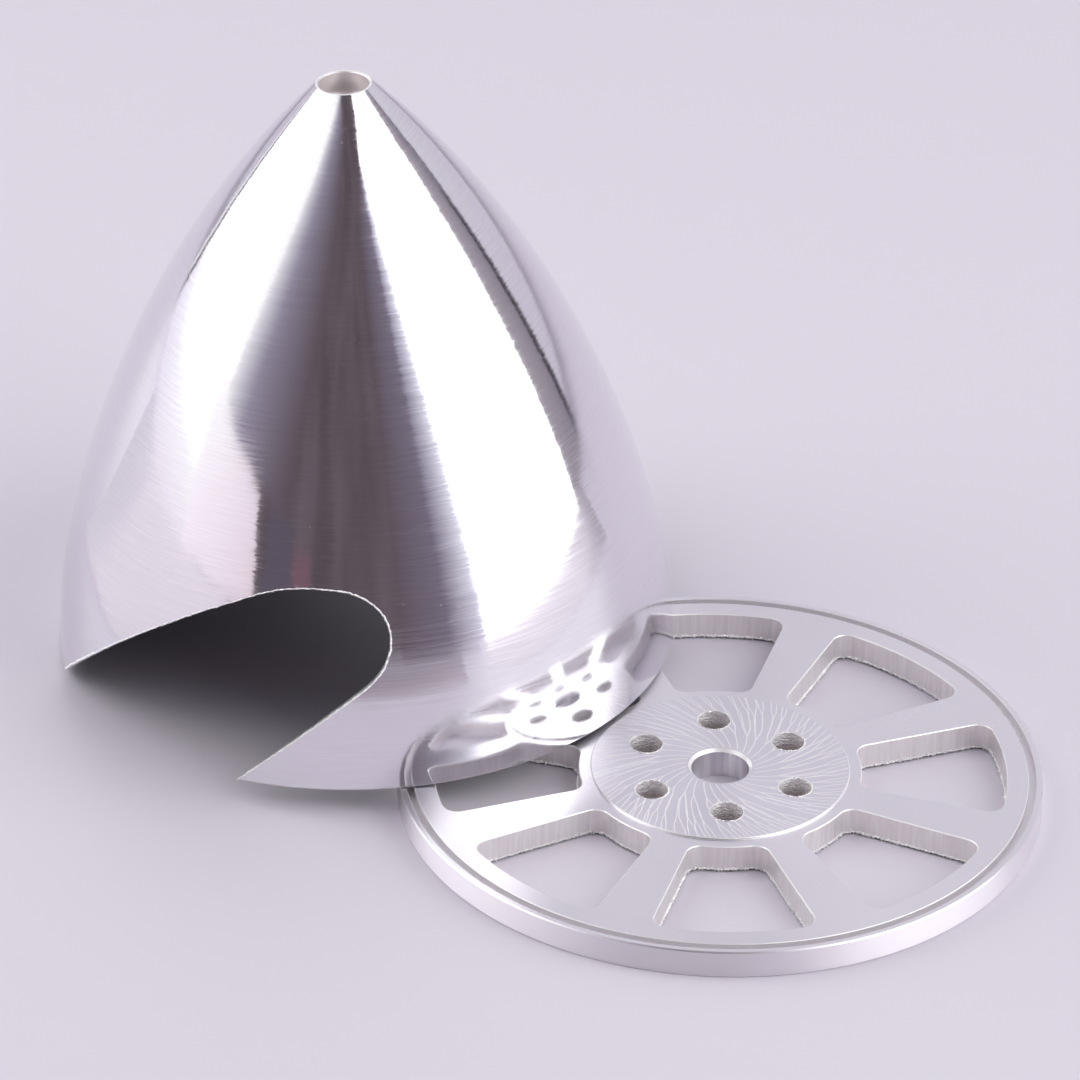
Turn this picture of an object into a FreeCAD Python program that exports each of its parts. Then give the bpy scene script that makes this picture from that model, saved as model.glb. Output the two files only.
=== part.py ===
import FreeCAD, Part
import math
import os
import Sketcher
from FreeCAD import Placement, Rotation, Vector

# Aluminium spinner for a two-blade propeller: a turned, pointed shell and the spoked back
# plate whose groove takes the shell's rim. The shell is off the plate and leans on its
# edge. Z is the axis of the plate's bore, and Z = 0 is the surface that both lie on.

doc = FreeCAD.newDocument("propeller_spinner")

# Driving dimensions, in millimetres and degrees.
DRIVING = [
    # Back plate
    ("plate_diameter", 117.0),
    ("plate_thickness", 5.3),
    ("plate_edge_chamfer", 0.25),
    ("lip_width", 1.2),
    ("groove_depth", 1.6),
    ("boss_diameter", 47.0),
    ("boss_rise", 0.4),
    ("bore_diameter", 10.5),
    ("bore_chamfer", 0.55),
    # Bolt circle of the propeller hub
    ("bolt_count", 6),
    ("bolt_circle_diameter", 30.0),
    ("bolt_hole_diameter", 6.0),
    ("bolt_phase", 3.9),
    # Windows that leave eight tapered spokes
    ("window_count", 8),
    ("window_hub_width", 2.2),
    ("window_ring_width", 3.9),
    ("spoke_width_at_boss", 6.7),
    ("spoke_width_at_ring", 10.6),
    ("window_corner_radius", 2.8),
    ("window_phase", 2.4),
    # Turned shell
    ("shell_wall", 1.2),
    ("rim_clearance", 0.1),
    ("shell_height", 113.7),
    ("flank_radius", 95.0),
    ("ogive_radius", 194.5),
    ("nose_face_radius", 5.1),
    ("nose_thickness", 9.0),
    ("counterbore_diameter", 9.1),
    ("counterbore_depth", 5.0),
    ("nose_bore_diameter", 5.5),
    # Blade cut-outs: a straight front edge, a tip, a shoulder and a long back edge
    ("blade_count", 2),
    ("cutout_front_foot", 2.5),
    ("cutout_front_slope", 41.0),
    ("cutout_tip_height", 27.4),
    ("cutout_tip_radius", 10.2),
    ("cutout_shoulder_radius", 26.7),
    ("cutout_shoulder_angle", 79.0),
    ("cutout_back_radius", 150.0),
    ("cutout_back_angle", 114.0),
    # How the loose shell lies on the plate's edge
    ("rest_overlap", 34.9),
    ("rest_direction", 144.2),
    ("rest_turn", 25.0),
    ("rest_gap", 0.1),
]

# Sizes that follow from the driving ones.
DERIVED = [
    ("plate_radius", "=plate_diameter / 2"),
    ("groove_outer_radius", "=plate_radius - lip_width"),
    ("groove_inner_radius", "=groove_outer_radius - shell_wall - 2 * rim_clearance"),
    ("window_inner_radius", "=boss_diameter / 2 + window_hub_width"),
    ("window_outer_radius", "=groove_inner_radius - window_ring_width"),
    ("window_half_angle", "=180 / window_count"),
    ("rim_radius", "=groove_outer_radius - rim_clearance"),
]

sheet = doc.addObject("Spreadsheet::Sheet", "dims")
for row, (alias, value) in enumerate(DRIVING + DERIVED, start=1):
    sheet.set("A%d" % row, alias)
    sheet.set("B%d" % row, str(value))
    sheet.setAlias("B%d" % row, alias)
doc.recompute()


def size(expression):
    """The value of an expression in the sheet's aliases."""
    return float(sheet.evalExpression(expression))


def bound(expression):
    """The same expression as other objects have to write it."""
    words = expression.split()
    aliases = [alias for alias, value in DRIVING + DERIVED]
    return " ".join("dims." + word if word in aliases else word for word in words)


# ---- Helpers for bodies and sketches ----

def makeBody(label):
    body = doc.addObject("PartDesign::Body", label)
    body.Label = label
    return body


def originItem(body, role):
    return [item for item in body.Origin.OriginFeatures if item.Role == role][0]


def makeSketch(body, name, role):
    sketch = body.newObject("Sketcher::SketchObject", name)
    sketch.AttachmentSupport = (originItem(body, role), [""])
    sketch.MapMode = "FlatFace"
    return sketch


def constrain(sketch, kind, *args):
    return sketch.addConstraint(Sketcher.Constraint(kind, *args))


def drive(sketch, expression, kind, *args):
    """Add a dimension to the sketch and bind it to the sheet."""
    value = size(expression)
    if kind == "Angle":
        value = math.radians(value)
    index = constrain(sketch, kind, *args, value)
    sketch.setExpression("Constraints[%d]" % index, bound(expression))


def addLine(sketch, start, end, construction=False):
    segment = Part.LineSegment(Vector(start[0], start[1]), Vector(end[0], end[1]))
    return sketch.addGeometry(segment, construction)


def addArc(sketch, centre, radius, start, end):
    """An arc that runs anticlockwise between two angles in degrees."""
    circle = Part.Circle(Vector(centre[0], centre[1]), Vector(0, 0, 1), radius)
    arc = Part.ArcOfCircle(circle, math.radians(start), math.radians(end))
    return sketch.addGeometry(arc, False)


def polar(radius, angle):
    return Vector(radius * math.cos(math.radians(angle)), radius * math.sin(math.radians(angle)))


def bearing(centre, point):
    return math.degrees(math.atan2(point.y - centre.y, point.x - centre.x))


def closeLoop(sketch, pieces):
    """Join each piece's end to the next one's start: (geometry, start point, end point)."""
    for piece, following in zip(pieces, pieces[1:] + pieces[:1]):
        constrain(sketch, "Coincident", piece[0], piece[2], following[0], following[1])


def addOutline(sketch, corners):
    """A closed outline of straight lines. Each corner is two expressions, across and up."""
    points = [(size(across), size(up)) for across, up in corners]
    lines = [addLine(sketch, *ends) for ends in zip(points, points[1:] + points[:1])]
    closeLoop(sketch, [(line, 1, 2) for line in lines])
    for line, (across, up) in zip(lines, corners):
        drive(sketch, across, "DistanceX", -1, 1, line, 1)
        drive(sketch, up, "DistanceY", -1, 1, line, 1)


def revolve(body, sketch, name):
    solid = body.newObject("PartDesign::Revolution", name)
    solid.Profile = sketch
    solid.ReferenceAxis = (sketch, ["V_Axis"])
    solid.Angle = 360


def repeatAround(body, feature, name, count):
    """Copies of a feature spread evenly about the body's Z axis."""
    pattern = body.newObject("PartDesign::PolarPattern", name)
    pattern.Originals = [feature]
    pattern.Axis = (originItem(body, "Z_Axis"), [""])
    pattern.Angle = 360
    pattern.setExpression("Occurrences", bound(count))
    body.Tip = pattern
    return pattern


# ---- Back plate ----

def turnPlate(body):
    """The turned disc: lip, groove, face, raised boss and chamfered bore in one section."""
    sketch = makeSketch(body, "plate_section", "XZ_Plane")
    face = "plate_thickness"
    bossTop = "plate_thickness + boss_rise"
    grooveFloor = "plate_thickness - groove_depth"
    addOutline(sketch, [
        ("bore_diameter / 2", "0"),
        ("plate_radius - plate_edge_chamfer", "0"),
        ("plate_radius", "plate_edge_chamfer"),
        ("plate_radius", face + " - plate_edge_chamfer"),
        ("plate_radius - plate_edge_chamfer", face),
        ("groove_outer_radius", face),
        ("groove_outer_radius", grooveFloor),
        ("groove_inner_radius", grooveFloor),
        ("groove_inner_radius", face),
        ("boss_diameter / 2", face),
        ("boss_diameter / 2", bossTop),
        ("bore_diameter / 2 + bore_chamfer", bossTop),
        ("bore_diameter / 2", bossTop + " - bore_chamfer"),
    ])
    revolve(body, sketch, "plate_disc")


def cutPlate(body, sketch, name):
    """A pocket up through the plate from a sketch on its bottom face."""
    pocket = body.newObject("PartDesign::Pocket", name)
    pocket.Profile = sketch
    pocket.Type = "Length"
    pocket.setExpression("Length", bound("2 * plate_thickness"))
    pocket.Reversed = True
    return pocket


def drillBoltHoles(body):
    sketch = makeSketch(body, "bolt_hole", "XY_Plane")
    centre = polar(size("bolt_circle_diameter / 2"), size("90 + bolt_phase"))
    circle = Part.Circle(centre, Vector(0, 0, 1), size("bolt_hole_diameter / 2"))
    hole = sketch.addGeometry(circle, False)
    spoke = addLine(sketch, (0, 0), centre, True)
    constrain(sketch, "Coincident", spoke, 1, -1, 1)
    constrain(sketch, "Coincident", spoke, 2, hole, 3)
    drive(sketch, "bolt_circle_diameter / 2", "Distance", spoke)
    drive(sketch, "90 + bolt_phase", "Angle", spoke)
    drive(sketch, "bolt_hole_diameter", "Diameter", hole)
    repeatAround(body, cutPlate(body, sketch, "bolt_hole_cut"), "bolt_holes", "bolt_count")


def cutWindows(body):
    """A window between two spokes, whose straight sides taper them, and its copies."""
    sketch = makeSketch(body, "window", "XY_Plane")
    middle = size("window_phase")
    halfAngle = size("window_half_angle")
    inner = size("window_inner_radius")
    outer = size("window_outer_radius")
    innerHalf = halfAngle - math.degrees(math.asin(size("spoke_width_at_boss / 2") / inner))
    outerHalf = halfAngle - math.degrees(math.asin(size("spoke_width_at_ring / 2") / outer))
    innerArc = addArc(sketch, (0, 0), inner, middle - innerHalf, middle + innerHalf)
    outerArc = addArc(sketch, (0, 0), outer, middle - outerHalf, middle + outerHalf)
    for arc, radius in ((innerArc, "window_inner_radius"), (outerArc, "window_outer_radius")):
        constrain(sketch, "Coincident", arc, 3, -1, 1)
        drive(sketch, radius, "Radius", arc)
    for side, arcEnd, sign in ((-1, 1, "-"), (1, 2, "+")):
        edge = addLine(sketch, polar(inner, middle + side * innerHalf),
                       polar(outer, middle + side * outerHalf))
        constrain(sketch, "Coincident", edge, 1, innerArc, arcEnd)
        constrain(sketch, "Coincident", edge, 2, outerArc, arcEnd)
        spoke = addLine(sketch, (0, 0), polar(outer, middle + side * halfAngle), True)
        constrain(sketch, "Coincident", spoke, 1, -1, 1)
        drive(sketch, "window_outer_radius", "Distance", spoke)
        drive(sketch, "window_phase %s window_half_angle" % sign, "Angle", spoke)
        drive(sketch, "spoke_width_at_boss / 2", "Distance", edge, 1, spoke)
        drive(sketch, "spoke_width_at_ring / 2", "Distance", edge, 2, spoke)
    pocket = cutPlate(body, sketch, "window_cut")
    return repeatAround(body, pocket, "windows", "window_count")


def roundWindowCorners(body, windows):
    """The milling cutter's radius in the four corners of every window."""
    doc.recompute()
    radii = (size("window_inner_radius"), size("window_outer_radius"))
    corners = []
    for number, edge in enumerate(windows.Shape.Edges, start=1):
        ends = [vertex.Point for vertex in edge.Vertexes]
        rise = abs(ends[0].z - ends[-1].z)
        reach = math.hypot(ends[0].x, ends[0].y)
        upright = abs(edge.Length - rise) < 1e-6 and rise > 0
        if upright and min(abs(reach - radius) for radius in radii) < 1e-4:
            corners.append("Edge%d" % number)
    fillet = body.newObject("PartDesign::Fillet", "window_corners")
    fillet.Base = (windows, corners)
    fillet.setExpression("Radius", bound("window_corner_radius"))
    body.Tip = fillet


def makeBackPlate():
    body = makeBody("back_plate")
    turnPlate(body)
    drillBoltHoles(body)
    roundWindowCorners(body, cutWindows(body))
    return body


# ---- Spinner shell ----

def ogiveCentre(flankCentre, nose):
    """Centre of the arc that passes the nose and runs tangent into the flank arc."""
    ogive = size("ogive_radius")
    inset = ogive - size("flank_radius")
    toNose = nose - flankCentre
    along = (inset ** 2 - ogive ** 2 + toNose.Length ** 2) / (2 * toNose.Length)
    across = math.sqrt(inset ** 2 - along ** 2)
    toNose.normalize()
    return flankCentre + toNose * along + Vector(-toNose.y, toNose.x) * across


def turnShell(body):
    """The turned wall: a flank arc upright at the rim, then a flatter ogive arc to the nose,
    and the same two arcs one wall further in, up to the solid nose with its screw seat."""
    sketch = makeSketch(body, "shell_section", "XZ_Plane")
    wall = size("shell_wall")
    flank = size("flank_radius")
    ogive = size("ogive_radius")
    rim = size("rim_radius")
    ceiling = size("shell_height - nose_thickness")
    seat = size("shell_height - counterbore_depth")
    head = size("counterbore_diameter / 2")
    shank = size("nose_bore_diameter / 2")
    nose = Vector(size("nose_face_radius"), size("shell_height"))
    low = Vector(rim - flank, 0)
    high = ogiveCentre(low, nose)
    joint = bearing(high, low)
    ceilingAngle = math.degrees(math.asin((ceiling - high.y) / (ogive - wall)))
    corner = high + polar(ogive - wall, ceilingAngle)

    outerFlank = addArc(sketch, low, flank, 0, joint)
    outerOgive = addArc(sketch, high, ogive, joint, bearing(high, nose))
    noseFace = addLine(sketch, nose, (head, nose.y))
    headWall = addLine(sketch, (head, nose.y), (head, seat))
    headSeat = addLine(sketch, (head, seat), (shank, seat))
    shankWall = addLine(sketch, (shank, seat), (shank, ceiling))
    roof = addLine(sketch, (shank, ceiling), corner)
    innerOgive = addArc(sketch, high, ogive - wall, joint, ceilingAngle)
    innerFlank = addArc(sketch, low, flank - wall, 0, joint)
    rimFace = addLine(sketch, (rim - wall, 0), (rim, 0))
    closeLoop(sketch, [
        (outerFlank, 1, 2), (outerOgive, 1, 2), (noseFace, 1, 2), (headWall, 1, 2),
        (headSeat, 1, 2), (shankWall, 1, 2), (roof, 1, 2), (innerOgive, 2, 1),
        (innerFlank, 2, 1), (rimFace, 1, 2),
    ])
    # The line through both centres and both joints keeps the inner arcs tangent too.
    centres = addLine(sketch, high, low + polar(flank, joint), True)
    constrain(sketch, "Coincident", centres, 1, outerOgive, 3)
    constrain(sketch, "Coincident", centres, 2, outerFlank, 2)
    constrain(sketch, "PointOnObject", outerFlank, 3, centres)
    constrain(sketch, "PointOnObject", innerFlank, 2, centres)
    constrain(sketch, "Coincident", innerFlank, 3, outerFlank, 3)
    constrain(sketch, "Coincident", innerOgive, 3, outerOgive, 3)
    for point in (1, 3):
        constrain(sketch, "PointOnObject", outerFlank, point, -1)
    constrain(sketch, "Horizontal", rimFace)
    for line in (noseFace, headSeat, roof):
        constrain(sketch, "Horizontal", line)
    for line in (headWall, shankWall):
        constrain(sketch, "Vertical", line)
    drive(sketch, "rim_radius", "DistanceX", -1, 1, outerFlank, 1)
    drive(sketch, "flank_radius", "Radius", outerFlank)
    drive(sketch, "ogive_radius", "Radius", outerOgive)
    drive(sketch, "shell_wall", "Distance", rimFace)
    drive(sketch, "nose_face_radius", "DistanceX", -1, 1, noseFace, 1)
    drive(sketch, "shell_height", "DistanceY", -1, 1, noseFace, 1)
    drive(sketch, "counterbore_diameter / 2", "DistanceX", -1, 1, headWall, 1)
    drive(sketch, "counterbore_depth", "Distance", headWall)
    drive(sketch, "nose_bore_diameter / 2", "DistanceX", -1, 1, shankWall, 1)
    drive(sketch, "nose_thickness", "DistanceY", roof, 1, noseFace, 1)
    revolve(body, sketch, "shell_wall_solid")


def cutBladeOpening(body):
    """The opening for one blade, slanted like its pitch, cut from the axis outwards, and its
    copies. Seen from outside it is a straight front edge that runs up into three tangent
    arcs: the small tip, the shoulder over it and the long back edge down to the rim."""
    sketch = makeSketch(body, "blade_opening", "XZ_Plane")
    slope = size("cutout_front_slope")
    tip = size("cutout_tip_radius")
    shoulder = size("cutout_shoulder_radius")
    back = size("cutout_back_radius")
    shoulderAngle = size("cutout_shoulder_angle")
    backAngle = size("cutout_back_angle")
    below = size("-shell_wall")
    frontFoot = Vector(size("cutout_front_foot"), 0)
    along = polar(1, slope)
    inwards = polar(1, slope + 90)
    run = (size("cutout_tip_height") - tip * inwards.y) / along.y
    tipCentre = frontFoot + along * run + inwards * tip
    shoulderCentre = tipCentre - polar(shoulder - tip, shoulderAngle)
    backCentre = shoulderCentre - polar(back - shoulder, backAngle)
    footAngle = 180 - math.degrees(math.asin((below - backCentre.y) / back))
    lowFront = frontFoot + along * (below / along.y)
    lowBack = backCentre + polar(back, footAngle)

    front = addLine(sketch, lowFront, frontFoot + along * run)
    tipArc = addArc(sketch, tipCentre, tip, slope - 90, shoulderAngle)
    shoulderArc = addArc(sketch, shoulderCentre, shoulder, shoulderAngle, backAngle)
    backArc = addArc(sketch, backCentre, back, backAngle, footAngle)
    base = addLine(sketch, lowBack, lowFront)
    for piece, following in ((front, tipArc), (tipArc, shoulderArc), (shoulderArc, backArc)):
        constrain(sketch, "Tangent", piece, 2, following, 1)
    for piece, following in ((backArc, base), (base, front)):
        constrain(sketch, "Coincident", piece, 2, following, 1)
    for arc, start, angle in ((shoulderArc, shoulderCentre, "cutout_shoulder_angle"),
                              (backArc, backCentre, "cutout_back_angle")):
        radius = addLine(sketch, start, start + polar(tip, size(angle)), True)
        constrain(sketch, "Coincident", radius, 1, arc, 3)
        constrain(sketch, "PointOnObject", arc, 1, radius)
        drive(sketch, "cutout_tip_radius", "Distance", radius)
        drive(sketch, angle, "Angle", radius)
    foot = addLine(sketch, (0, 0), frontFoot, True)
    constrain(sketch, "Coincident", foot, 1, -1, 1)
    constrain(sketch, "Horizontal", foot)
    constrain(sketch, "PointOnObject", foot, 2, front)
    constrain(sketch, "Horizontal", base)
    drive(sketch, "cutout_front_foot", "Distance", foot)
    drive(sketch, "cutout_front_slope", "Angle", front)
    drive(sketch, "cutout_tip_height", "DistanceY", -1, 1, tipArc, 3)
    drive(sketch, "cutout_tip_radius", "Radius", tipArc)
    drive(sketch, "cutout_shoulder_radius", "Radius", shoulderArc)
    drive(sketch, "cutout_back_radius", "Radius", backArc)
    drive(sketch, "shell_wall", "DistanceY", base, 1, -1, 1)

    pocket = body.newObject("PartDesign::Pocket", "blade_opening_cut")
    pocket.Profile = sketch
    pocket.Type = "Length"
    pocket.setExpression("Length", bound("plate_radius"))
    pocket.Reversed = True
    repeatAround(body, pocket, "blade_openings", "blade_count")


def restShell(body):
    """Lean the shell: its rim stands on the ground at one point and crosses the plate's
    edge at two. The rim's plane meets the plate's top where the edge's circle and the
    rim's inner circle cross, and the tilt is the one that puts it at the top's height."""
    edge = size("plate_radius - plate_edge_chamfer")
    rim = size("rim_radius")
    distance = size("plate_radius + rim_radius - rest_overlap")
    inner = size("rim_radius - shell_wall")
    crossing = (distance ** 2 + inner ** 2 - edge ** 2) / (2 * distance)
    rise = size("plate_thickness") / (rim + crossing)
    direction = size("rest_direction")
    upright = Vector(0, 0, 1)
    tilt = Rotation(polar(1, direction + 90), math.degrees(math.asin(rise)))
    centre = polar(distance, direction) + upright * (rim * rise + size("rest_gap"))
    body.Placement = Placement(centre, tilt * Rotation(upright, -size("rest_turn")))


def makeSpinnerShell():
    body = makeBody("spinner_shell")
    turnShell(body)
    cutBladeOpening(body)
    restShell(body)
    return body


# ---- Build, check and export ----

bodies = [makeBackPlate(), makeSpinnerShell()]
doc.recompute()

for item in doc.Objects:
    if "Invalid" in item.State or "Error" in item.State:
        raise RuntimeError("%s failed: %s" % (item.Name, item.State))
for body in bodies:
    if body.Shape.isNull() or not body.Shape.isValid() or len(body.Shape.Solids) != 1:
        raise RuntimeError("%s is not one valid solid" % body.Label)

os.makedirs("parts", exist_ok=True)
for body in bodies:
    body.Shape.exportStep("parts/%s.step" % body.Label)
    box = body.Shape.BoundBox
    print("%s: %.0f mm3, %.1f x %.1f x %.1f mm"
          % (body.Label, body.Shape.Volume, box.XLength, box.YLength, box.ZLength))
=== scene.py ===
import math
import bpy
import numpy as np
from mathutils import Matrix, Vector


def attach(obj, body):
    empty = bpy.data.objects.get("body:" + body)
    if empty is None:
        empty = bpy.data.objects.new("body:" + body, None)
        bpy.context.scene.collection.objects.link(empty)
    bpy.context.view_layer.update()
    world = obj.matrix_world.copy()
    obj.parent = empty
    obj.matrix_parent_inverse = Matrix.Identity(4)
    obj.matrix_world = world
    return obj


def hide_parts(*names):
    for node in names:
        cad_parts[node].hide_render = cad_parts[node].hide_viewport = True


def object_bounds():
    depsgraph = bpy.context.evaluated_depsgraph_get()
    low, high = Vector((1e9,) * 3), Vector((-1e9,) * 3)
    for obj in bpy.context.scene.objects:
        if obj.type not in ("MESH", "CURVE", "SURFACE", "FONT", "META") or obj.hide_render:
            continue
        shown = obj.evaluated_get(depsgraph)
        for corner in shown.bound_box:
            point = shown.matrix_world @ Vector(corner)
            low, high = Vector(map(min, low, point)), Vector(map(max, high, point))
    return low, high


# Turned aluminium spinner for a two-blade propeller: the polished shell leans on the edge
# of its spoked back plate. Sizes are in millimetres and angles in degrees; mesh data is metres.

mm = 0.001
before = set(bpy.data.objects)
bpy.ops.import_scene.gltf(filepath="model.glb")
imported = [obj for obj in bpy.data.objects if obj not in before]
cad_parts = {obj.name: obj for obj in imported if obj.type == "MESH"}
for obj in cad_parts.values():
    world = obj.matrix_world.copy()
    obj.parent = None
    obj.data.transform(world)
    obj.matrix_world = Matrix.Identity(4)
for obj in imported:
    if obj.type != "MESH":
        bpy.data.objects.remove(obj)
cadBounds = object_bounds()


def linearColour(hexCode):
    # sRGB hex to the linear values a shader socket takes
    srgb = np.array([int(hexCode[i:i + 2], 16) for i in (1, 3, 5)]) / 255
    linear = np.where(srgb <= 0.04045, srgb / 12.92, ((srgb + 0.055) / 1.055) ** 2.4)
    return (*linear.tolist(), 1.0)


def addNode(tree, kind, inputs=None, **settings):
    # one node with its settings; an input is a value or another node's socket
    node = tree.nodes.new(kind)
    for name, value in settings.items():
        setattr(node, name, value)
    for key, value in (inputs or {}).items():
        if isinstance(value, bpy.types.NodeSocket):
            tree.links.new(value, node.inputs[key])
        else:
            node.inputs[key].default_value = value
    return node


def newMaterial(name):
    material = bpy.data.materials.new(name)
    material.use_nodes = True
    tree = material.node_tree
    tree.nodes.clear()
    output = addNode(tree, "ShaderNodeOutputMaterial")
    return material, tree, output


def polar(radius, angle):
    # the point at that radius and angle, for one angle or a whole row of them
    angle = np.radians(angle)
    return np.stack([radius * np.cos(angle), radius * np.sin(angle)], axis=-1)


def turned(points, angle):
    # the points turned counter-clockwise about the axis
    cosine, sine = math.cos(math.radians(angle)), math.sin(math.radians(angle))
    return points @ np.array([[cosine, sine], [-sine, cosine]])


def arcRow(centre, radius, start, end, count):
    return centre + polar(radius, np.linspace(start, end, count))


def meshObject(name, points, faces):
    mesh = bpy.data.meshes.new(name)
    mesh.from_pydata(points.reshape(-1, 3).tolist(), [], faces)
    mesh.update()
    piece = bpy.data.objects.new(name, mesh)
    bpy.context.scene.collection.objects.link(piece)
    return piece


def wrapQuads(rows, columns):
    # quads of a grid that closes on itself both ways
    row, column = np.meshgrid(np.arange(rows), np.arange(columns), indexing="ij")
    nextRow, nextColumn = (row + 1) % rows, (column + 1) % columns
    corners = [row * columns + column, nextRow * columns + column,
               nextRow * columns + nextColumn, row * columns + nextColumn]
    return np.stack([corner.ravel() for corner in corners], axis=1).tolist()


def lathe(name, profile, steps):
    # point(turn, row) = (radius[row] cos turn, radius[row] sin turn, height[row])
    turn = np.arange(steps) * 2 * np.pi / steps
    radius, height = profile[:, 0], profile[:, 1]
    grid = np.stack([np.outer(np.cos(turn), radius), np.outer(np.sin(turn), radius),
                     np.broadcast_to(height, (steps, len(height)))], axis=-1)
    return meshObject(name, grid * mm, wrapQuads(steps, len(height)))


def column(name, outline, levels, place=None):
    # point(level, corner) = outline moved outwards by the level's flare, at the level's height;
    # place, where there is one, then moves the points
    edge = np.roll(outline, -1, axis=0) - np.roll(outline, 1, axis=0)
    outward = np.stack([edge[:, 1], -edge[:, 0]], axis=1)
    outward /= np.linalg.norm(outward, axis=1)[:, None]
    count = len(outline)
    rings = [np.column_stack([outline + flare * outward, np.full(count, height)])
             for flare, height in levels]
    points = np.concatenate(rings)
    if place:
        points = place(points)
    low = np.arange(count)
    following = (low + 1) % count
    faces = []
    for level in range(len(levels) - 1):
        base, top = level * count, (level + 1) * count
        faces += np.stack([base + low, base + following, top + following, top + low], 1).tolist()
    faces.append(low[::-1].tolist())
    faces.append((low + (len(levels) - 1) * count).tolist())
    return meshObject(name, points * mm, faces)


def cutAway(piece, cutters):
    # take the cutters out of the piece and keep the result as a plain mesh
    for cutter in cutters:
        cut = piece.modifiers.new("cut", "BOOLEAN")
        cut.operation = "DIFFERENCE"
        cut.solver = "EXACT"
        cut.object = cutter
    bpy.context.view_layer.update()
    done = bpy.data.meshes.new_from_object(piece.evaluated_get(bpy.context.evaluated_depsgraph_get()))
    piece.modifiers.clear()
    piece.data = done
    for cutter in cutters:
        bpy.data.objects.remove(cutter)


def meshArrays(mesh):
    # points, the point at each face corner, and each face's corner count, middle and normal
    points = np.empty(len(mesh.vertices) * 3)
    mesh.vertices.foreach_get("co", points)
    corners = np.empty(len(mesh.loops), dtype=np.int32)
    mesh.loops.foreach_get("vertex_index", corners)
    sizes = np.empty(len(mesh.polygons), dtype=np.int32)
    mesh.polygons.foreach_get("loop_total", sizes)
    middles = np.empty(len(mesh.polygons) * 3)
    mesh.polygons.foreach_get("center", middles)
    normals = np.empty(len(mesh.polygons) * 3)
    mesh.polygons.foreach_get("normal", normals)
    return (points.reshape(-1, 3) / mm, corners, sizes, middles.reshape(-1, 3) / mm,
            normals.reshape(-1, 3))


def dressFaces(mesh, kind, materials):
    # each face takes the material that its kind numbers
    mesh.materials.clear()
    for material in materials:
        mesh.materials.append(material)
    mesh.polygons.foreach_set("material_index", kind.astype(np.int32))
    mesh.polygons.foreach_set("use_smooth", np.ones(len(mesh.polygons), dtype=bool))


shell = {
    "height": 113.7, "rimRadius": 57.2, "wall": 1.2,
    "flankRadius": 95.0, "ogiveRadius": 194.5,
    "noseRadius": 5.1, "noseThickness": 9.0,
    "headRadius": 4.55, "headDepth": 5.0, "shankRadius": 2.75, "edgeBreak": 0.15,
    "steps": 540,
}
bladeOpening = {
    "frontFoot": 2.5, "frontSlope": 41.0,
    "tipHeight": 27.4, "tipRadius": 10.2,
    "shoulderRadius": 26.7, "shoulderAngle": 79.0,
    "backRadius": 150.0, "backAngle": 114.0,
    "overrun": 3.0, "roughness": 0.05, "reach": (0.45, 1.7),  # reach is a share of the skin's depth
}
rest = {"distance": 80.8, "direction": 144.2, "turn": -25.0, "plateEdge": 58.25,
        "plateThickness": 5.3, "gap": 0.1}
shellKinds = ["skin", "inside", "filed", "seat"]


def ogiveArcs():
    # centres and joint of the flank arc and of the ogive arc that runs tangent into it:
    # the ogive's centre is one inset away from the flank's, and its arc passes the nose
    flank, ogive = shell["flankRadius"], shell["ogiveRadius"]
    low = np.array([shell["rimRadius"] - flank, 0.0])
    span = np.array([shell["noseRadius"], shell["height"]]) - low
    length = np.linalg.norm(span)
    inset = ogive - flank
    along = (inset ** 2 - ogive ** 2 + length ** 2) / (2 * length)
    across = math.sqrt(inset ** 2 - along ** 2)
    high = low + (span * along + np.array([-span[1], span[0]]) * across) / length
    joint = math.degrees(math.atan2(low[1] - high[1], low[0] - high[0]))
    return low, high, joint


def shellProfile():
    # up the outside, round the nose's counterbore, down the inside and back across the rim
    low, high, joint = ogiveArcs()
    flank, ogive, wall = shell["flankRadius"], shell["ogiveRadius"], shell["wall"]
    top, head, shank = shell["height"], shell["headRadius"], shell["shankRadius"]
    small = shell["edgeBreak"]
    ceiling = top - shell["noseThickness"]
    seat = top - shell["headDepth"]
    noseAngle = math.degrees(math.asin((top - high[1]) / ogive))
    ceilingAngle = math.degrees(math.asin((ceiling - high[1]) / (ogive - wall)))
    outer = [arcRow(low, flank, 0.15, joint, 20), arcRow(high, ogive, joint, noseAngle - 0.05, 70)[1:]]
    nose = [[[shell["noseRadius"] - 0.12, top], [head + small, top],
             [head, top - small], [head, seat], [shank, seat], [shank, ceiling]]]
    inner = [arcRow(high, ogive - wall, ceilingAngle, joint, 50),
             arcRow(low, flank - wall, joint, 0, 16)[1:]]
    rim = [[[shell["rimRadius"] - 0.2, 0.0]]]
    return np.concatenate(outer + nose + inner + rim)


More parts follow.
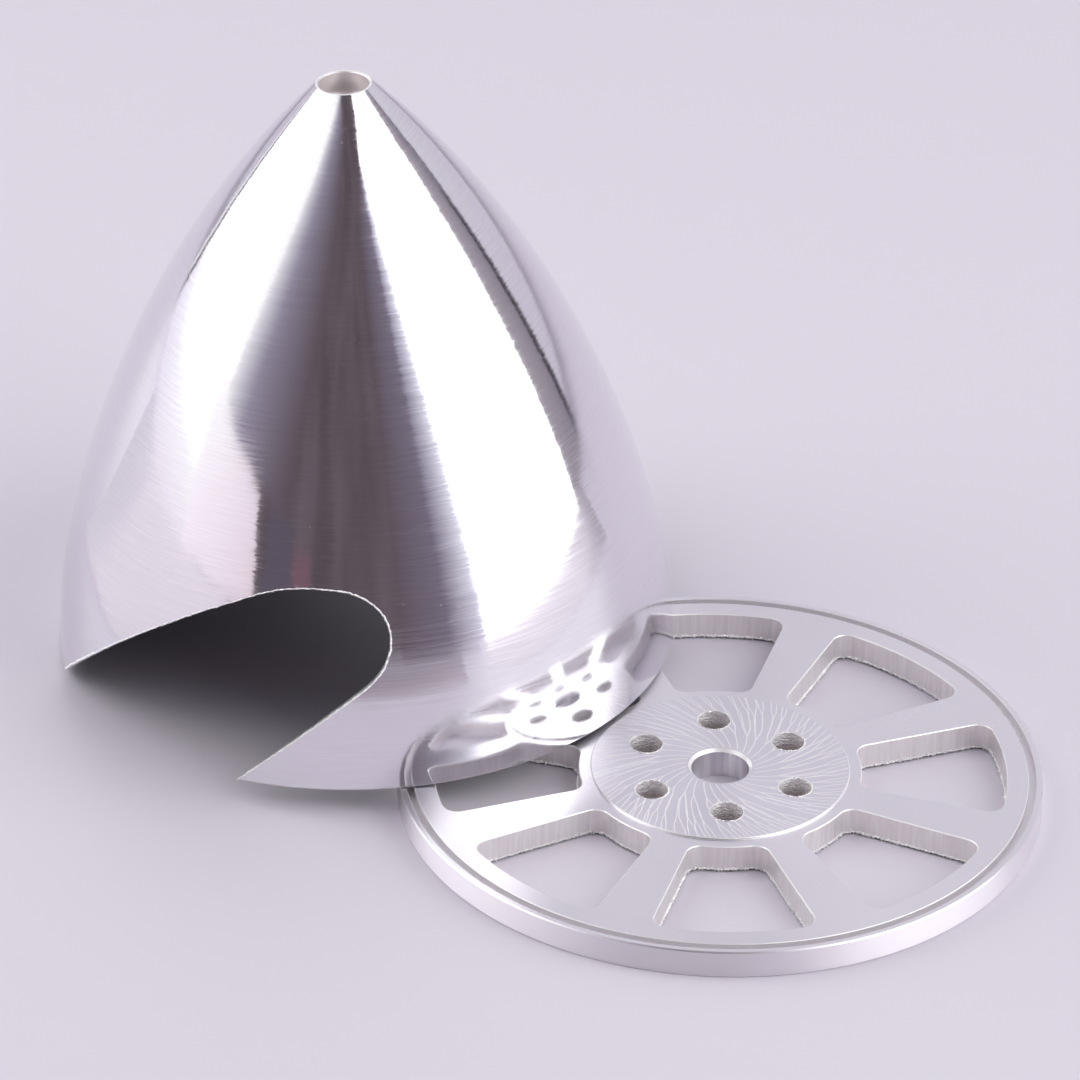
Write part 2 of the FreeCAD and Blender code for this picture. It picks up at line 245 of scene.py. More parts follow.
def openingOutline():
    # straight front edge, then three tangent arcs; a slight wander stands for the file marks
    o = bladeOpening
    slope = o["frontSlope"]
    along, inwards = polar(1, slope), polar(1, slope + 90)
    foot = np.array([o["frontFoot"], 0.0])
    tip = foot + along * (o["tipHeight"] - o["tipRadius"] * inwards[1]) / along[1] + inwards * o["tipRadius"]
    shoulder = tip - polar(o["shoulderRadius"] - o["tipRadius"], o["shoulderAngle"])
    back = shoulder - polar(o["backRadius"] - o["shoulderRadius"], o["backAngle"])
    start = foot - along * o["overrun"]
    end = tip + polar(o["tipRadius"], slope - 90)
    backEnd = 180 - math.degrees(math.asin((-2.0 - back[1]) / o["backRadius"]))
    line = start + np.linspace(0, 1, 90)[:, None] * (end - start)
    outline = np.concatenate([
        line[:-1],
        arcRow(tip, o["tipRadius"], slope - 90, o["shoulderAngle"], 60)[:-1],
        arcRow(shoulder, o["shoulderRadius"], o["shoulderAngle"], o["backAngle"], 40)[:-1],
        arcRow(back, o["backRadius"], o["backAngle"], backEnd, 130),
    ])
    wander = np.random.default_rng(4).normal(size=(len(outline), 2)) * o["roughness"]
    wander = (wander + np.roll(wander, 1, axis=0)) / 2
    wander[[0, -1]] = 0
    return outline + wander


def shellPlacement():
    # the rim stands on the ground at its far side and crosses the plate's edge at two points
    rim, d = shell["rimRadius"], rest["distance"]
    inner = rim - shell["wall"]
    crossing = (d ** 2 + inner ** 2 - rest["plateEdge"] ** 2) / (2 * d)
    rise = rest["plateThickness"] / (rim + crossing)
    away = polar(d, rest["direction"])
    centre = Vector((away[0], away[1], rim * rise + rest["gap"])) * mm
    leanAxis = Vector((*polar(1, rest["direction"] + 90), 0))
    lean = Matrix.Rotation(math.asin(rise), 4, leanAxis)
    return Matrix.Translation(centre) @ lean @ Matrix.Rotation(math.radians(rest["turn"]), 4, "Z")


shellFrame = shellPlacement()


def makeShell():
    profile = shellProfile()
    piece = lathe("shell", profile, shell["steps"])
    outline = openingOutline()
    outerArc = profile[:np.argmax(profile[:, 1])]

    def radial(side):
        # the outline is drawn on an upright plane (across, up) and thrown onto the skin; from
        # there the cut runs square to the axis: point = share * (across, depth on the skin), up
        def place(p):
            skin = np.interp(p[:, 1], outerArc[:, 1], outerArc[:, 0])
            depth = np.sqrt(np.maximum(skin ** 2 - p[:, 0] ** 2, 0.01))
            return np.stack([side * p[:, 0] * p[:, 2], -side * depth * p[:, 2], p[:, 1]], 1)
        return place

    levels = [(0, share) for share in bladeOpening["reach"]]
    front = column("frontCutter", outline, levels, radial(1))
    rear = column("rearCutter", outline, levels, radial(-1))
    cutAway(piece, [front, rear])
    mesh = piece.data
    points, corners, sizes, middles, faceNormals = meshArrays(mesh)

    # which surface each face lies on, told by its distance from the turned arcs
    low, high, joint = ogiveArcs()
    jointHeight = low[1] + shell["flankRadius"] * math.sin(math.radians(joint))

    def arcNormal(radius, height):
        # outward direction in the section: away from the flank's centre, or the ogive's above it
        onFlank = (height < jointHeight)[:, None]
        offset = np.stack([radius, height], 1) - np.where(onFlank, low, high)
        length = np.linalg.norm(offset, axis=1)
        depth = length - np.where(onFlank[:, 0], shell["flankRadius"], shell["ogiveRadius"])
        return offset / length[:, None], depth

    near, facing = 0.1, 0.9  # a face within 0.1 mm of an arc that faces its way lies on it
    radius = np.hypot(middles[:, 0], middles[:, 1])
    direction, depth = arcNormal(radius, middles[:, 2])
    sideways = (faceNormals[:, :2] * middles[:, :2]).sum(1) / radius
    outwardness = sideways * direction[:, 0] + faceNormals[:, 2] * direction[:, 1]
    noseArea = middles[:, 2] > shell["height"] - shell["noseThickness"] + near
    outside = (np.abs(depth) < near) & (outwardness > facing)
    inside = (np.abs(depth + shell["wall"]) < near) & (outwardness < -facing) & ~noseArea
    kind = np.full(len(sizes), shellKinds.index("filed"))
    kind[outside] = shellKinds.index("skin")
    kind[inside] = shellKinds.index("inside")
    seat = noseArea & (radius < shell["headRadius"] + 0.01)
    kind[seat] = shellKinds.index("seat")
    dressFaces(mesh, kind, [polishedShell, turnedInsidePaintedShade, filedEdge, boredSeat])

    # exact normals of the turned arcs, so that reflections run smoothly across the facets
    faceOfCorner = np.repeat(np.arange(len(sizes)), sizes)
    cornerPoints = points[corners]
    cornerRadius = np.hypot(cornerPoints[:, 0], cornerPoints[:, 1])
    outwards = cornerPoints[:, :2] / cornerRadius[:, None]
    section, _ = arcNormal(cornerRadius, cornerPoints[:, 2])
    arcNormals = np.column_stack([outwards * section[:, :1], section[:, 1]])
    sign = np.where(outside, 1.0, -1.0)[faceOfCorner][:, None]
    smooth = (outside | inside)[faceOfCorner][:, None]
    upright = ((np.abs(faceNormals[:, 2]) < 0.01) & seat)[faceOfCorner][:, None]
    inwards = np.column_stack([-outwards, np.zeros(len(outwards))])
    flat = np.where(upright, inwards, faceNormals[faceOfCorner])
    normals = np.where(smooth, arcNormals * sign, flat)

    mesh.transform(shellFrame)
    mesh.normals_split_custom_set((normals @ np.array(shellFrame.to_3x3()).T).tolist())
    mesh.update()
    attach(piece, "root")
    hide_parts("spinner_shell")
    print("shell:", len(mesh.polygons), "faces")
    return piece


plate = {
    "radius": 58.5, "thickness": 5.3, "edgeChamfer": 0.25,
    "lipWidth": 1.2, "grooveWidth": 1.4, "grooveDepth": 1.6,
    "bossRadius": 23.5, "bossRise": 0.4, "edgeBreak": 0.12,
    "boreRadius": 5.25, "boreChamfer": 0.55,
    "boltCount": 6, "boltCircle": 15.0, "boltRadius": 3.0, "boltPhase": 93.9,
    "steps": 360,
}
window = {
    "count": 8, "innerRadius": 25.7, "outerRadius": 52.0,
    "spokeAtBoss": 6.7, "spokeAtRing": 10.6,
    "cornerRadius": 2.8, "phase": 2.4, "edgeBreak": 0.16, "footBreak": 2.0, "footHeight": 0.42,
}
plateKinds = ["face", "milled", "boss", "drilled", "edge", "groove", "broken", "footShade", "bored"]
plateTop = plate["thickness"] + plate["bossRise"]
boltAngles = plate["boltPhase"] + np.arange(plate["boltCount"]) * 360 / plate["boltCount"]
boltCentres = polar(plate["boltCircle"], boltAngles)
windowAngles = window["phase"] + np.arange(window["count"]) * 360 / window["count"]


def plateProfile():
    p = plate
    face, bore, boss, small = p["thickness"], p["boreRadius"], p["bossRadius"], p["edgeBreak"]
    lip = p["radius"] - p["lipWidth"]
    groove = lip - p["grooveWidth"]
    c = p["edgeChamfer"]
    return np.array([
        [bore + 0.2, 0], [p["radius"] - c, 0], [p["radius"], c],
        [p["radius"], face - c], [p["radius"] - c, face],
        [lip + 0.1, face], [lip, face - 0.1],
        [lip, face - p["grooveDepth"]], [groove, face - p["grooveDepth"]],
        [groove, face - 0.1], [groove - 0.1, face],
        [boss + 0.05, face], [boss, face + 0.05],
        [boss, plateTop - small], [boss - small, plateTop],
        [bore + p["boreChamfer"], plateTop], [bore, plateTop - p["boreChamfer"]],
        [bore, 0.2],
    ])


def windowOutline():
    # two arcs about the bore and two straight sides, with the cutter's radius in each corner
    w = window
    half = 180 / w["count"]
    inner, outer, r = w["innerRadius"], w["outerRadius"], w["cornerRadius"]
    a = polar(inner, half - math.degrees(math.asin(w["spokeAtBoss"] / 2 / inner)))
    b = polar(outer, half - math.degrees(math.asin(w["spokeAtRing"] / 2 / outer)))
    side = (b - a) / np.linalg.norm(b - a)
    inward = np.array([side[1], -side[0]])

    def corner(radius, reach):
        # centre of the rounding: r inside the side, and r inside the arc about the bore
        base = a + inward * r
        drop = base @ side
        run = math.sqrt(reach ** 2 - (base @ base - drop ** 2)) - drop
        centre = base + side * run
        return centre, centre - inward * r, centre * radius / reach

    low, lowSide, lowArc = corner(inner, inner + r)
    high, highSide, highArc = corner(outer, outer - r)

    def bearing(point):
        return math.degrees(math.atan2(point[1], point[0]))

    sideAngle = bearing(-inward)
    upper = np.concatenate([
        arcRow(0, outer, 0, bearing(highArc), 24)[:-1],
        arcRow(high, r, bearing(high), sideAngle, 12)[:-1],
        highSide + np.linspace(0, 1, 20)[:-1, None] * (lowSide - highSide),
        arcRow(low, r, sideAngle, bearing(low) + 180, 12)[:-1],
        arcRow(0, inner, bearing(lowArc), 0, 16)[:-1],
    ])
    lower = upper[1:][::-1] * [1, -1]
    start = polar(inner, 0)[None]
    return np.concatenate([upper, start, lower])


def makePlate():
    piece = lathe("plate", plateProfile(), plate["steps"])
    face = plate["thickness"]
    flare, foot, lift = window["edgeBreak"], window["footBreak"], window["footHeight"]
    small, past = plate["edgeBreak"], 0.6  # the cutters run 0.6 mm past both faces
    outline = windowOutline()
    windowLevels = [(foot, -past), (foot, lift), (0, lift + 0.04), (0, face - flare), (flare, face),
                    (flare + past, face + past)]
    cutters = [column("windowCutter%d" % number, turned(outline, angle), windowLevels)
               for number, angle in enumerate(windowAngles)]
    ring = polar(plate["boltRadius"], np.arange(64) * 360 / 64)
    boltLevels = [(0.1, -past), (0.1, 0.0), (0, 0.1), (0, plateTop - small), (small, plateTop),
                  (0.7, plateTop + past)]
    cutters += [column("boltCutter%d" % number, ring + centre, boltLevels)
                for number, centre in enumerate(boltCentres)]
    cutAway(piece, cutters)

    # which surface each face lies on, told by its height, its radius and the way it faces
    mesh = piece.data
    points, corners, sizes, middles, faceNormals = meshArrays(mesh)
    radius = np.hypot(middles[:, 0], middles[:, 1])
    height = middles[:, 2]
    level = np.abs(faceNormals[:, 2]) > 0.98
    slanting = np.abs(faceNormals[:, 2]) > 0.4
    belowFace, aboveFace = height < face - 0.01, height > face + 0.01
    toBolts = np.linalg.norm(middles[:, None, :2] - boltCentres[None], axis=2)
    nearBolt = (toBolts < plate["boltRadius"] + 0.25).any(1)
    outerEdge = (radius > plate["radius"] - 0.5) & belowFace & ~level
    kinds = [
        ("face", level),
        ("boss", level & (height > face + 0.2)),
        ("drilled", nearBolt & ~level),
        ("edge", (radius < plate["boreRadius"] + 1) | outerEdge),
        ("edge", (np.abs(radius - plate["bossRadius"]) < 0.3) & aboveFace & ~level),
        ("bored", (radius < plate["boreRadius"] + 0.05) & ~level & (height > 1)),
        ("groove", belowFace & (height > 1) & (radius > 55) & (radius < 57.4)),
        # painted shade: the slot under each window's foot
        ("footShade", (height > 0.01) & (height < lift + 0.03) & (radius > 20) & (radius < 56)),
        ("broken", ~level & slanting & (height > face - 0.2) & (radius < 57)),
    ]
    kind = np.full(len(sizes), plateKinds.index("milled"))
    for name, chosen in kinds:
        kind[chosen] = plateKinds.index(name)
    dressFaces(mesh, kind, [turnedFace, milledWall, scoredBoss, drilledHole, turnedEdge, roughGroove,
                            brokenEdge, paintedFootShade, boredWall])
    mesh.set_sharp_from_angle(angle=math.radians(22))
    mesh.update()
    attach(piece, "root")
    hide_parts("back_plate")
    print("plate:", len(mesh.polygons), "faces")


scoring = {
    "lines": 32, "forks": (10.8, 18.2), "forkLength": 2.6, "lean": 0.47,
    "inner": 6.2, "outer": 23.3, "halfWidth": 0.1, "height": 0.055, "points": 150,
    "wander": 0.00015, "uneven": 0.0025,  # both are shares of a whole turn
}


def makeScoring():
    # ridges that swirl outwards: angle = start + lean * ln(radius), and every line forks in
    # two at each fork radius, where the pair opens from nothing to half of the lines' spacing
    s = scoring
    random = np.random.default_rng(7)
    radius = np.linspace(s["inner"], s["outer"], s["points"])
    opening = [np.clip((radius - fork) / s["forkLength"], 0, 1) for fork in s["forks"]]
    # the four copies of a line lie on one another until a fork parts them
    start = (np.arange(s["lines"]) / s["lines"])[:, None] + np.zeros(4)
    signs = np.array([[-1, -1], [-1, 1], [1, -1], [1, 1]])
    apart = (signs[:, :1] * opening[0] / (4 * s["lines"]) + signs[:, 1:] * opening[1] / (8 * s["lines"]))
    turn = start[:, :, None] + apart[None] + s["lean"] * np.log(radius) / (2 * np.pi)
    wander = np.cumsum(random.normal(size=turn.shape), axis=2) * s["wander"]
    wander -= wander[:, :, :1]
    uneven = random.normal(size=(s["lines"], 1, 1)) * s["uneven"]
    angle = (turn + wander * opening[0] + uneven).reshape(-1, s["points"]) * 2 * np.pi
    path = np.stack([radius * np.cos(angle), radius * np.sin(angle)], axis=-1)
    along = np.gradient(path, axis=1)
    across = np.stack([-along[..., 1], along[..., 0]], axis=-1)
    across /= np.linalg.norm(across, axis=-1, keepdims=True)
    # the ridge swells and sinks along its way, and thins out to its ends
    swell = 0.55 + 0.45 * random.random(angle.shape)
    gaps = np.convolve(random.random(angle.size), np.ones(9) / 9, "same").reshape(angle.shape) > 0.6
    swell *= 1 - 0.75 * gaps
    swell[:, [0, -1]] = 0.05
    toBolts = np.linalg.norm(path[:, :, None] - boltCentres, axis=-1)
    clear = (toBolts > plate["boltRadius"] + 0.3).all(axis=2)
    half = s["halfWidth"] * (0.6 + 0.4 * swell)[..., None]
    section = [np.concatenate([path + across * half * side,
                               (plateTop + lift * swell * s["height"])[..., None]], axis=-1)
               for side, lift in ((1, 0), (0, 1), (-1, 0))]
    grid = np.stack(section, axis=2)
    line, point, edge = np.meshgrid(np.arange(len(path)), np.arange(s["points"] - 1), [0, 1], indexing="ij")
    corner = (line * s["points"] + point) * 3 + edge
    faces = np.stack([corner, corner + 1, corner + 4, corner + 3], axis=-1)
    keep = clear[line, point] & clear[line, point + 1]
    piece = meshObject("bossScoring", grid * mm, faces[keep].tolist())
    piece.data.materials.append(scoredRidge)
    piece.data.polygons.foreach_set("use_smooth", np.ones(len(piece.data.polygons), dtype=bool))
    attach(piece, "root")
    print("scoring:", len(piece.data.polygons), "faces")


burrs = {
    "step": 0.22, "reach": 0.32, "windowLift": 0.56, "windowSize": 0.62,
    "boltSize": 0.3, "shellSize": 0.4,
}


def makeBeads(name, places, along, sizes):
    # a torn edge: one small spindle at each place, drawn out along the edge; corners are
    # place +- along * reach and place +- sides * size
    random = np.random.default_rng(len(places))
    reach = burrs["reach"]
    across = np.cross(along, random.normal(size=along.shape))
    across /= np.linalg.norm(across, axis=1)[:, None]
    third = np.cross(along, across)
    uneven = sizes[:, None] * (0.55 + 0.45 * random.random((len(places), 4)))
    corners = np.stack([places + along * reach, places - along * reach,
                        places + across * uneven[:, :1], places + third * uneven[:, 1:2],
                        places - across * uneven[:, 2:3], places - third * uneven[:, 3:]], axis=1)
    # no bead leaves the model's own box
    corners = corners.clip(np.array(cadBounds[0]) / mm, np.array(cadBounds[1]) / mm)
    spindle = np.array([[0, 2, 3], [0, 3, 4], [0, 4, 5], [0, 5, 2],
                        [1, 3, 2], [1, 4, 3], [1, 5, 4], [1, 2, 5]])
    faces = (spindle[None] + 6 * np.arange(len(places))[:, None, None]).reshape(-1, 3)
    piece = meshObject(name, corners * mm, faces.tolist())
    piece.data.materials.append(torn)
    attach(piece, "root")
    print(name, len(faces), "faces")


def walk(outline, step, random):
    # places at uneven steps along a closed outline, and the outline's direction at each
    closed = np.concatenate([outline, outline[:1]])
    run = np.concatenate([[0], np.cumsum(np.linalg.norm(np.diff(closed, axis=0), axis=1))])
    steps = np.arange(0, run[-1] - step, step)
    spots = steps + random.random(len(steps)) * step
    behind, here, ahead = [
        np.stack([np.interp(spots + shift, run, closed[:, i], period=run[-1]) for i in (0, 1)], axis=1)
        for shift in (-0.1, 0, 0.1)]
    along = ahead - behind
    along /= np.linalg.norm(along, axis=1)[:, None]
    return here, along


def makeBurrs():
    # beads round the foot of every window and round the mouth of every bolt hole
    random = np.random.default_rng(11)
    places, along, sizes = [], [], []
    circle = polar(plate["boltRadius"] + 0.08, np.arange(72) * 360 / 72) + [plate["boltCircle"], 0]
    jobs = [(windowOutline(), angle, burrs["windowLift"], burrs["windowSize"]) for angle in windowAngles]
    jobs += [(circle, angle, plateTop, burrs["boltSize"]) for angle in boltAngles]
    for outline, angle, height, size in jobs:
        spot, direction = walk(outline, burrs["step"], random)
        # the burr swells and fades along the edge
        wave = np.convolve(random.random(len(spot) + 24), np.ones(25) / 25, "valid")
        swell = (0.3 + 0.7 * wave ** 2 * 4).clip(0.2, 1)
        places.append(np.column_stack([turned(spot, angle), height + random.normal(size=len(spot)) * 0.05]))
        along.append(np.column_stack([turned(direction, angle), random.normal(size=len(spot)) * 0.15]))
        sizes.append(size * swell * (0.3 + 0.7 * random.random(len(spot))))
    makeBeads("plateBurrs", np.concatenate(places), np.concatenate(along), np.concatenate(sizes))


def makeShellBurrs(piece):
    # beads on every edge where the polished skin meets a filed face
    mesh = piece.data
    points, corners, sizes, middles, faceNormals = meshArrays(mesh)
    kind = np.empty(len(sizes), dtype=np.int32)
    mesh.polygons.foreach_get("material_index", kind)
    edgeOfCorner = np.empty(len(corners), dtype=np.int32)
    mesh.loops.foreach_get("edge_index", edgeOfCorner)
    ends = np.empty(len(mesh.edges) * 2, dtype=np.int32)
    mesh.edges.foreach_get("vertices", ends)
    ends = ends.reshape(-1, 2)
    cornerKind = np.repeat(kind, sizes)
    skin, filed = [np.bincount(edgeOfCorner, cornerKind == shellKinds.index(name), len(ends)) == 1
                   for name in ("skin", "filed")]
    local = points @ np.array(shellFrame.to_3x3()) + np.array(shellFrame.inverted().translation) / mm
    first, last = ends[skin & filed].T
    first, last = first[local[first, 2] > 0.3], last[local[first, 2] > 0.3]  # the rim's foot stays clean
    span = points[last] - points[first]
    length = np.linalg.norm(span, axis=1)
    random = np.random.default_rng(12)
    number = np.maximum(1, np.round(length / burrs["step"])).astype(int)
    edge = np.repeat(np.arange(len(span)), number)
    share = random.random(len(edge))
    places = points[first][edge] + span[edge] * share[:, None]
    along = span[edge] / length[edge][:, None]
    # rougher towards the foot of the slanting edge, cleaner round the tip
    rough = 0.45 + 0.55 * np.clip(np.abs(local[first][edge, 0]) / 40, 0, 1)
    size = burrs["shellSize"] * rough * (0.45 + 0.55 * random.random(len(edge)))
    makeBeads("shellBurrs", places, along, size)


finish = {
    # painted light: the shell's dark inside, the bolt holes' darker bottom and the slot under the windows' feet
    # are painted shade, and the bore's two tones paint upright bands of light and shade
    "aluminium": "#F6F4F9", "aluminiumLow": "#E2E0E5", "machined": "#EFEDF1", "boss": "#EAE8ED",
    "inside": "#56585B", "bored": "#F8F3F3", "boreBandShade": "#DAD6DC", "drilled": "#FFFDFE",
    "drilledShade": "#D2CAC8", "edge": "#FAF7FB", "groove": "#EDEAED", "footShade": "#5A5759",
    "milledLow": "#DED8D8", "milledHigh": "#FCFAFA", "bright": "#FFFFFF",
}


def cells(*sizes):
    # a pattern's scale from the size of its marks in millimetres along each axis
    return tuple(1 / (size * mm) for size in sizes)


def machinedMetal(name, hexCode, roughness, placement=None, metallic=1.0, anisotropy=0.0):
    # aluminium turned about the upright axis, or about the axis of its placement, which its
    # patterns then follow; anisotropy draws the glint out across the grooves that run round
    material, tree, output = newMaterial(name)
    coords = addNode(tree, "ShaderNodeTexCoord").outputs["Object"]
    centre, axis, local = Vector(), Vector((0, 0, 1)), coords
    if placement is not None:
        centre, axis, back = placement.translation, placement.col[2].xyz, placement.inverted()
        local = addNode(tree, "ShaderNodeMapping", {
            "Vector": coords, "Location": back.translation, "Rotation": back.to_euler()}).outputs["Vector"]
    inputs = {"Base Color": linearColour(hexCode), "Metallic": metallic, "Roughness": roughness}
    if anisotropy:
        arm = addNode(tree, "ShaderNodeVectorMath", {0: coords, 1: centre}, operation="SUBTRACT")
        around = addNode(tree, "ShaderNodeVectorMath", {0: axis, 1: arm.outputs[0]}, operation="CROSS_PRODUCT")
        tangent = addNode(tree, "ShaderNodeVectorMath", {0: around.outputs[0]}, operation="NORMALIZE")
        inputs["Tangent"] = tangent.outputs[0]
        inputs["Anisotropic"] = anisotropy
        inputs["Anisotropic Rotation"] = 0.25
    shader = addNode(tree, "ShaderNodeBsdfPrincipled", inputs)
    tree.links.new(shader.outputs[0], output.inputs["Surface"])
    return material, tree, shader, local


def addTurningLines(tree, shader, vector, spacing, depth, length=14.0):
    # lines that run round: noise squeezed along the axis to their spacing
    squeezed = addNode(tree, "ShaderNodeVectorMath", {0: vector, 1: cells(length, length, spacing)},
                       operation="MULTIPLY")
    noise = addNode(tree, "ShaderNodeTexNoise", {
        "Vector": squeezed.outputs[0], "Scale": 1.0, "Detail": 2.0, "Roughness": 0.6})
    bump = addNode(tree, "ShaderNodeBump", {
        "Height": noise.outputs[0], "Distance": depth * mm, "Strength": 1.0})
    tree.links.new(bump.outputs[0], shader.inputs["Normal"])
    return noise, bump


def tintBetween(tree, shader, factor, low, high):
    # the metal's colour runs from low to high with the factor
    tone = addNode(tree, "ShaderNodeMix", {"Factor": factor, 6: linearColour(low), 7: linearColour(high)},
                   data_type="RGBA")
    tree.links.new(tone.outputs[2], shader.inputs["Base Color"])


# Polished aluminium: a mirror that still shows the lathe's fine turning lines. Each line
# leans a little round the axis, which frays the edges of what the metal mirrors.
polishedShell, tree, shader, local = machinedMetal(
    "polishedAluminium", finish["aluminium"], 0.1, shellFrame, anisotropy=0.5)
around = shader.inputs["Tangent"].links[0].from_socket
noises, leans = [], []
for spacing, length, amount in ((0.3, 8, 0.019), (1.3, 26, 0.012)):  # two sizes of line, in mm
    squeezed = addNode(tree, "ShaderNodeVectorMath", {0: local, 1: cells(length, length, spacing)},
                       operation="MULTIPLY")
    noises.append(addNode(tree, "ShaderNodeTexNoise", {
        "Vector": squeezed.outputs[0], "Scale": 1.0, "Detail": 3.0, "Roughness": 0.65}).outputs[0])
    leans.append(addNode(tree, "ShaderNodeMapRange", {
        "Value": noises[-1], "To Min": -amount, "To Max": amount}).outputs[0])
lean = addNode(tree, "ShaderNodeMath", {0: leans[0], 1: leans[1]})
sideways = addNode(tree, "ShaderNodeVectorMath", {0: around, "Scale": lean.outputs[0]}, operation="SCALE")
normal = addNode(tree, "ShaderNodeNewGeometry").outputs["Normal"]
leaning = addNode(tree, "ShaderNodeVectorMath", {0: normal, 1: sideways.outputs[0]})
leaning = addNode(tree, "ShaderNodeVectorMath", {0: leaning.outputs[0]}, operation="NORMALIZE")
lines, bump = addTurningLines(tree, shader, local, spacing=0.4, depth=0.002, length=22)
tree.links.new(leaning.outputs[0], bump.inputs["Normal"])
# small dents, 1 to 2 mm apart, in patches about 45 mm wide
squeezed = addNode(tree, "ShaderNodeVectorMath", {0: local, 1: cells(2.381, 2.381, 1.25)},
                   operation="MULTIPLY")
dent = addNode(tree, "ShaderNodeTexVoronoi", {"Vector": squeezed.outputs[0], "Scale": 1.0})
where = addNode(tree, "ShaderNodeTexNoise", {"Vector": local, "Scale": cells(45.45)[0], "Detail": 2.0})
limit = addNode(tree, "ShaderNodeMapRange", {
    "Value": where.outputs[0], "From Min": 0.52, "From Max": 0.7, "To Min": 0.0, "To Max": 0.2})
pit = addNode(tree, "ShaderNodeMath", {0: dent.outputs["Distance"], 1: limit.outputs[0]}, operation="LESS_THAN")
nicks = addNode(tree, "ShaderNodeBump", {
    "Height": pit.outputs[0], "Distance": -0.03 * mm, "Strength": 1.0, "Normal": bump.outputs[0]})
tree.links.new(nicks.outputs[0], shader.inputs["Normal"])
gloss = addNode(tree, "ShaderNodeMapRange", {
    "Value": lines.outputs[0], "From Min": 0.35, "From Max": 0.65, "To Min": 0.06, "To Max": 0.13})
tree.links.new(gloss.outputs[0], shader.inputs["Roughness"])
tintBetween(tree, shader, noises[0], finish["aluminiumLow"], finish["aluminium"])

# Turned aluminium, left as the tool left it, with a sheen; its dark grey is painted shade for the inside of the
# shell.
turnedInsidePaintedShade, tree, shader, local = machinedMetal(
    "turnedAluminiumPaintedShadeInside", finish["inside"], 0.38, shellFrame, anisotropy=0.4)
addTurningLines(tree, shader, local, spacing=0.5, depth=0.01)

# Filed aluminium at the openings and the rim: bright and scratchy.
filedEdge, tree, shader, local = machinedMetal(
    "filedAluminium", finish["machined"], 0.4, shellFrame, metallic=0.7)
addTurningLines(tree, shader, local, spacing=0.25, depth=0.02, length=0.8)

# Bored aluminium, the seat of the nose screw: a satin wall.
boredSeat, tree, shader, local = machinedMetal(
    "boredAluminiumSeat", finish["bored"], 0.3, shellFrame, metallic=0.75)
addTurningLines(tree, shader, local, spacing=0.3, depth=0.008, length=9)

# Drilled aluminium: the drill left coarse, torn rings; the colour is painted shade, darker towards the bottom,
# where little light reaches.
drilledHole, tree, shader, local = machinedMetal("drilledAluminium", finish["drilled"], 0.42, metallic=0.5)
addTurningLines(tree, shader, local, spacing=0.35, depth=0.5, length=0.7)
height = addNode(tree, "ShaderNodeSeparateXYZ", {"Vector": local}).outputs["Z"]
lit = addNode(tree, "ShaderNodeMapRange", {"Value": height, "From Min": 2.6 * mm, "From Max": 4.6 * mm})
tintBetween(tree, shader, lit.outputs[0], finish["drilledShade"], finish["drilled"])

# Faced aluminium: rings so fine that they show only as fans of light; the patches of duller
# and brighter metal are about 22 mm wide.
turnedFace, tree, shader, local = machinedMetal("facedAluminium", finish["machined"], 0.28, anisotropy=0.8)
patches = addNode(tree, "ShaderNodeTexNoise", {"Vector": local, "Scale": cells(22.22)[0], "Detail": 4.0})
gloss = addNode(tree, "ShaderNodeMapRange", {
    "Value": patches.outputs[0], "From Min": 0.3, "From Max": 0.7, "To Min": 0.24, "To Max": 0.36})
tree.links.new(gloss.outputs[0], shader.inputs["Roughness"])

# Milled aluminium, the walls of the windows: the cutter's flutes left upright marks.
milledWall, tree, shader, local = machinedMetal("milledAluminium", finish["milledHigh"], 0.42, metallic=0.75)
flutes = addNode(tree, "ShaderNodeVectorMath", {0: local, 1: cells(0.7143, 0.7143, 11.11)},
                 operation="MULTIPLY")
marks = addNode(tree, "ShaderNodeTexNoise", {"Vector": flutes.outputs[0], "Scale": 1.0, "Detail": 3.0})
bump = addNode(tree, "ShaderNodeBump", {"Height": marks.outputs[0], "Distance": 0.06 * mm, "Strength": 1.0})
tree.links.new(bump.outputs[0], shader.inputs["Normal"])
tintBetween(tree, shader, marks.outputs[0], finish["milledLow"], finish["milledHigh"])

# Scored aluminium, and edges torn or broken by the tools: these catch light from every
# side, so they shine against the faces.
scoredBoss = machinedMetal("scoredAluminium", finish["boss"], 0.34, anisotropy=0.7)[0]
scoredRidge = machinedMetal("raisedAluminiumRidge", finish["bright"], 0.3, metallic=0.6)[0]
torn = machinedMetal("tornAluminium", finish["bright"], 0.35, metallic=0.4)[0]
brokenEdge = machinedMetal("chamferedAluminium", finish["bright"], 0.4, metallic=0.4)[0]

# Painted shade in the slot under each window's foot: a dull dark grey that stands for the shadow under the
# plate.
paintedFootShade = machinedMetal("footShadeAluminium", finish["footShade"], 0.7, metallic=0.4)[0]

# Bored aluminium through the boss: a satin that draws the light into upright bands; its colour is painted in
# upright bands of light and shade as well.
boredWall, tree, shader, local = machinedMetal("boredAluminium", finish["edge"], 0.3, anisotropy=0.6)
addTurningLines(tree, shader, local, spacing=0.2, depth=0.004, length=5)
upright = addNode(tree, "ShaderNodeVectorMath", {0: local, 1: cells(2.381, 2.381, 33.33)},
                  operation="MULTIPLY")
paintedBands = addNode(tree, "ShaderNodeTexNoise", {"Vector": upright.outputs[0], "Scale": 1.0, "Detail": 2.0})
share = addNode(tree, "ShaderNodeMapRange", {"Value": paintedBands.outputs[0], "From Min": 0.38, "From Max": 0.6})
tintBetween(tree, shader, share.outputs[0], finish["boreBandShade"], finish["bright"])

# Turned aluminium at the plate's edge: a fine satin.
turnedEdge, tree, shader, local = machinedMetal("turnedAluminiumEdge", finish["edge"], 0.48, anisotropy=0.8)
addTurningLines(tree, shader, local, spacing=0.25, depth=0.003, length=20)

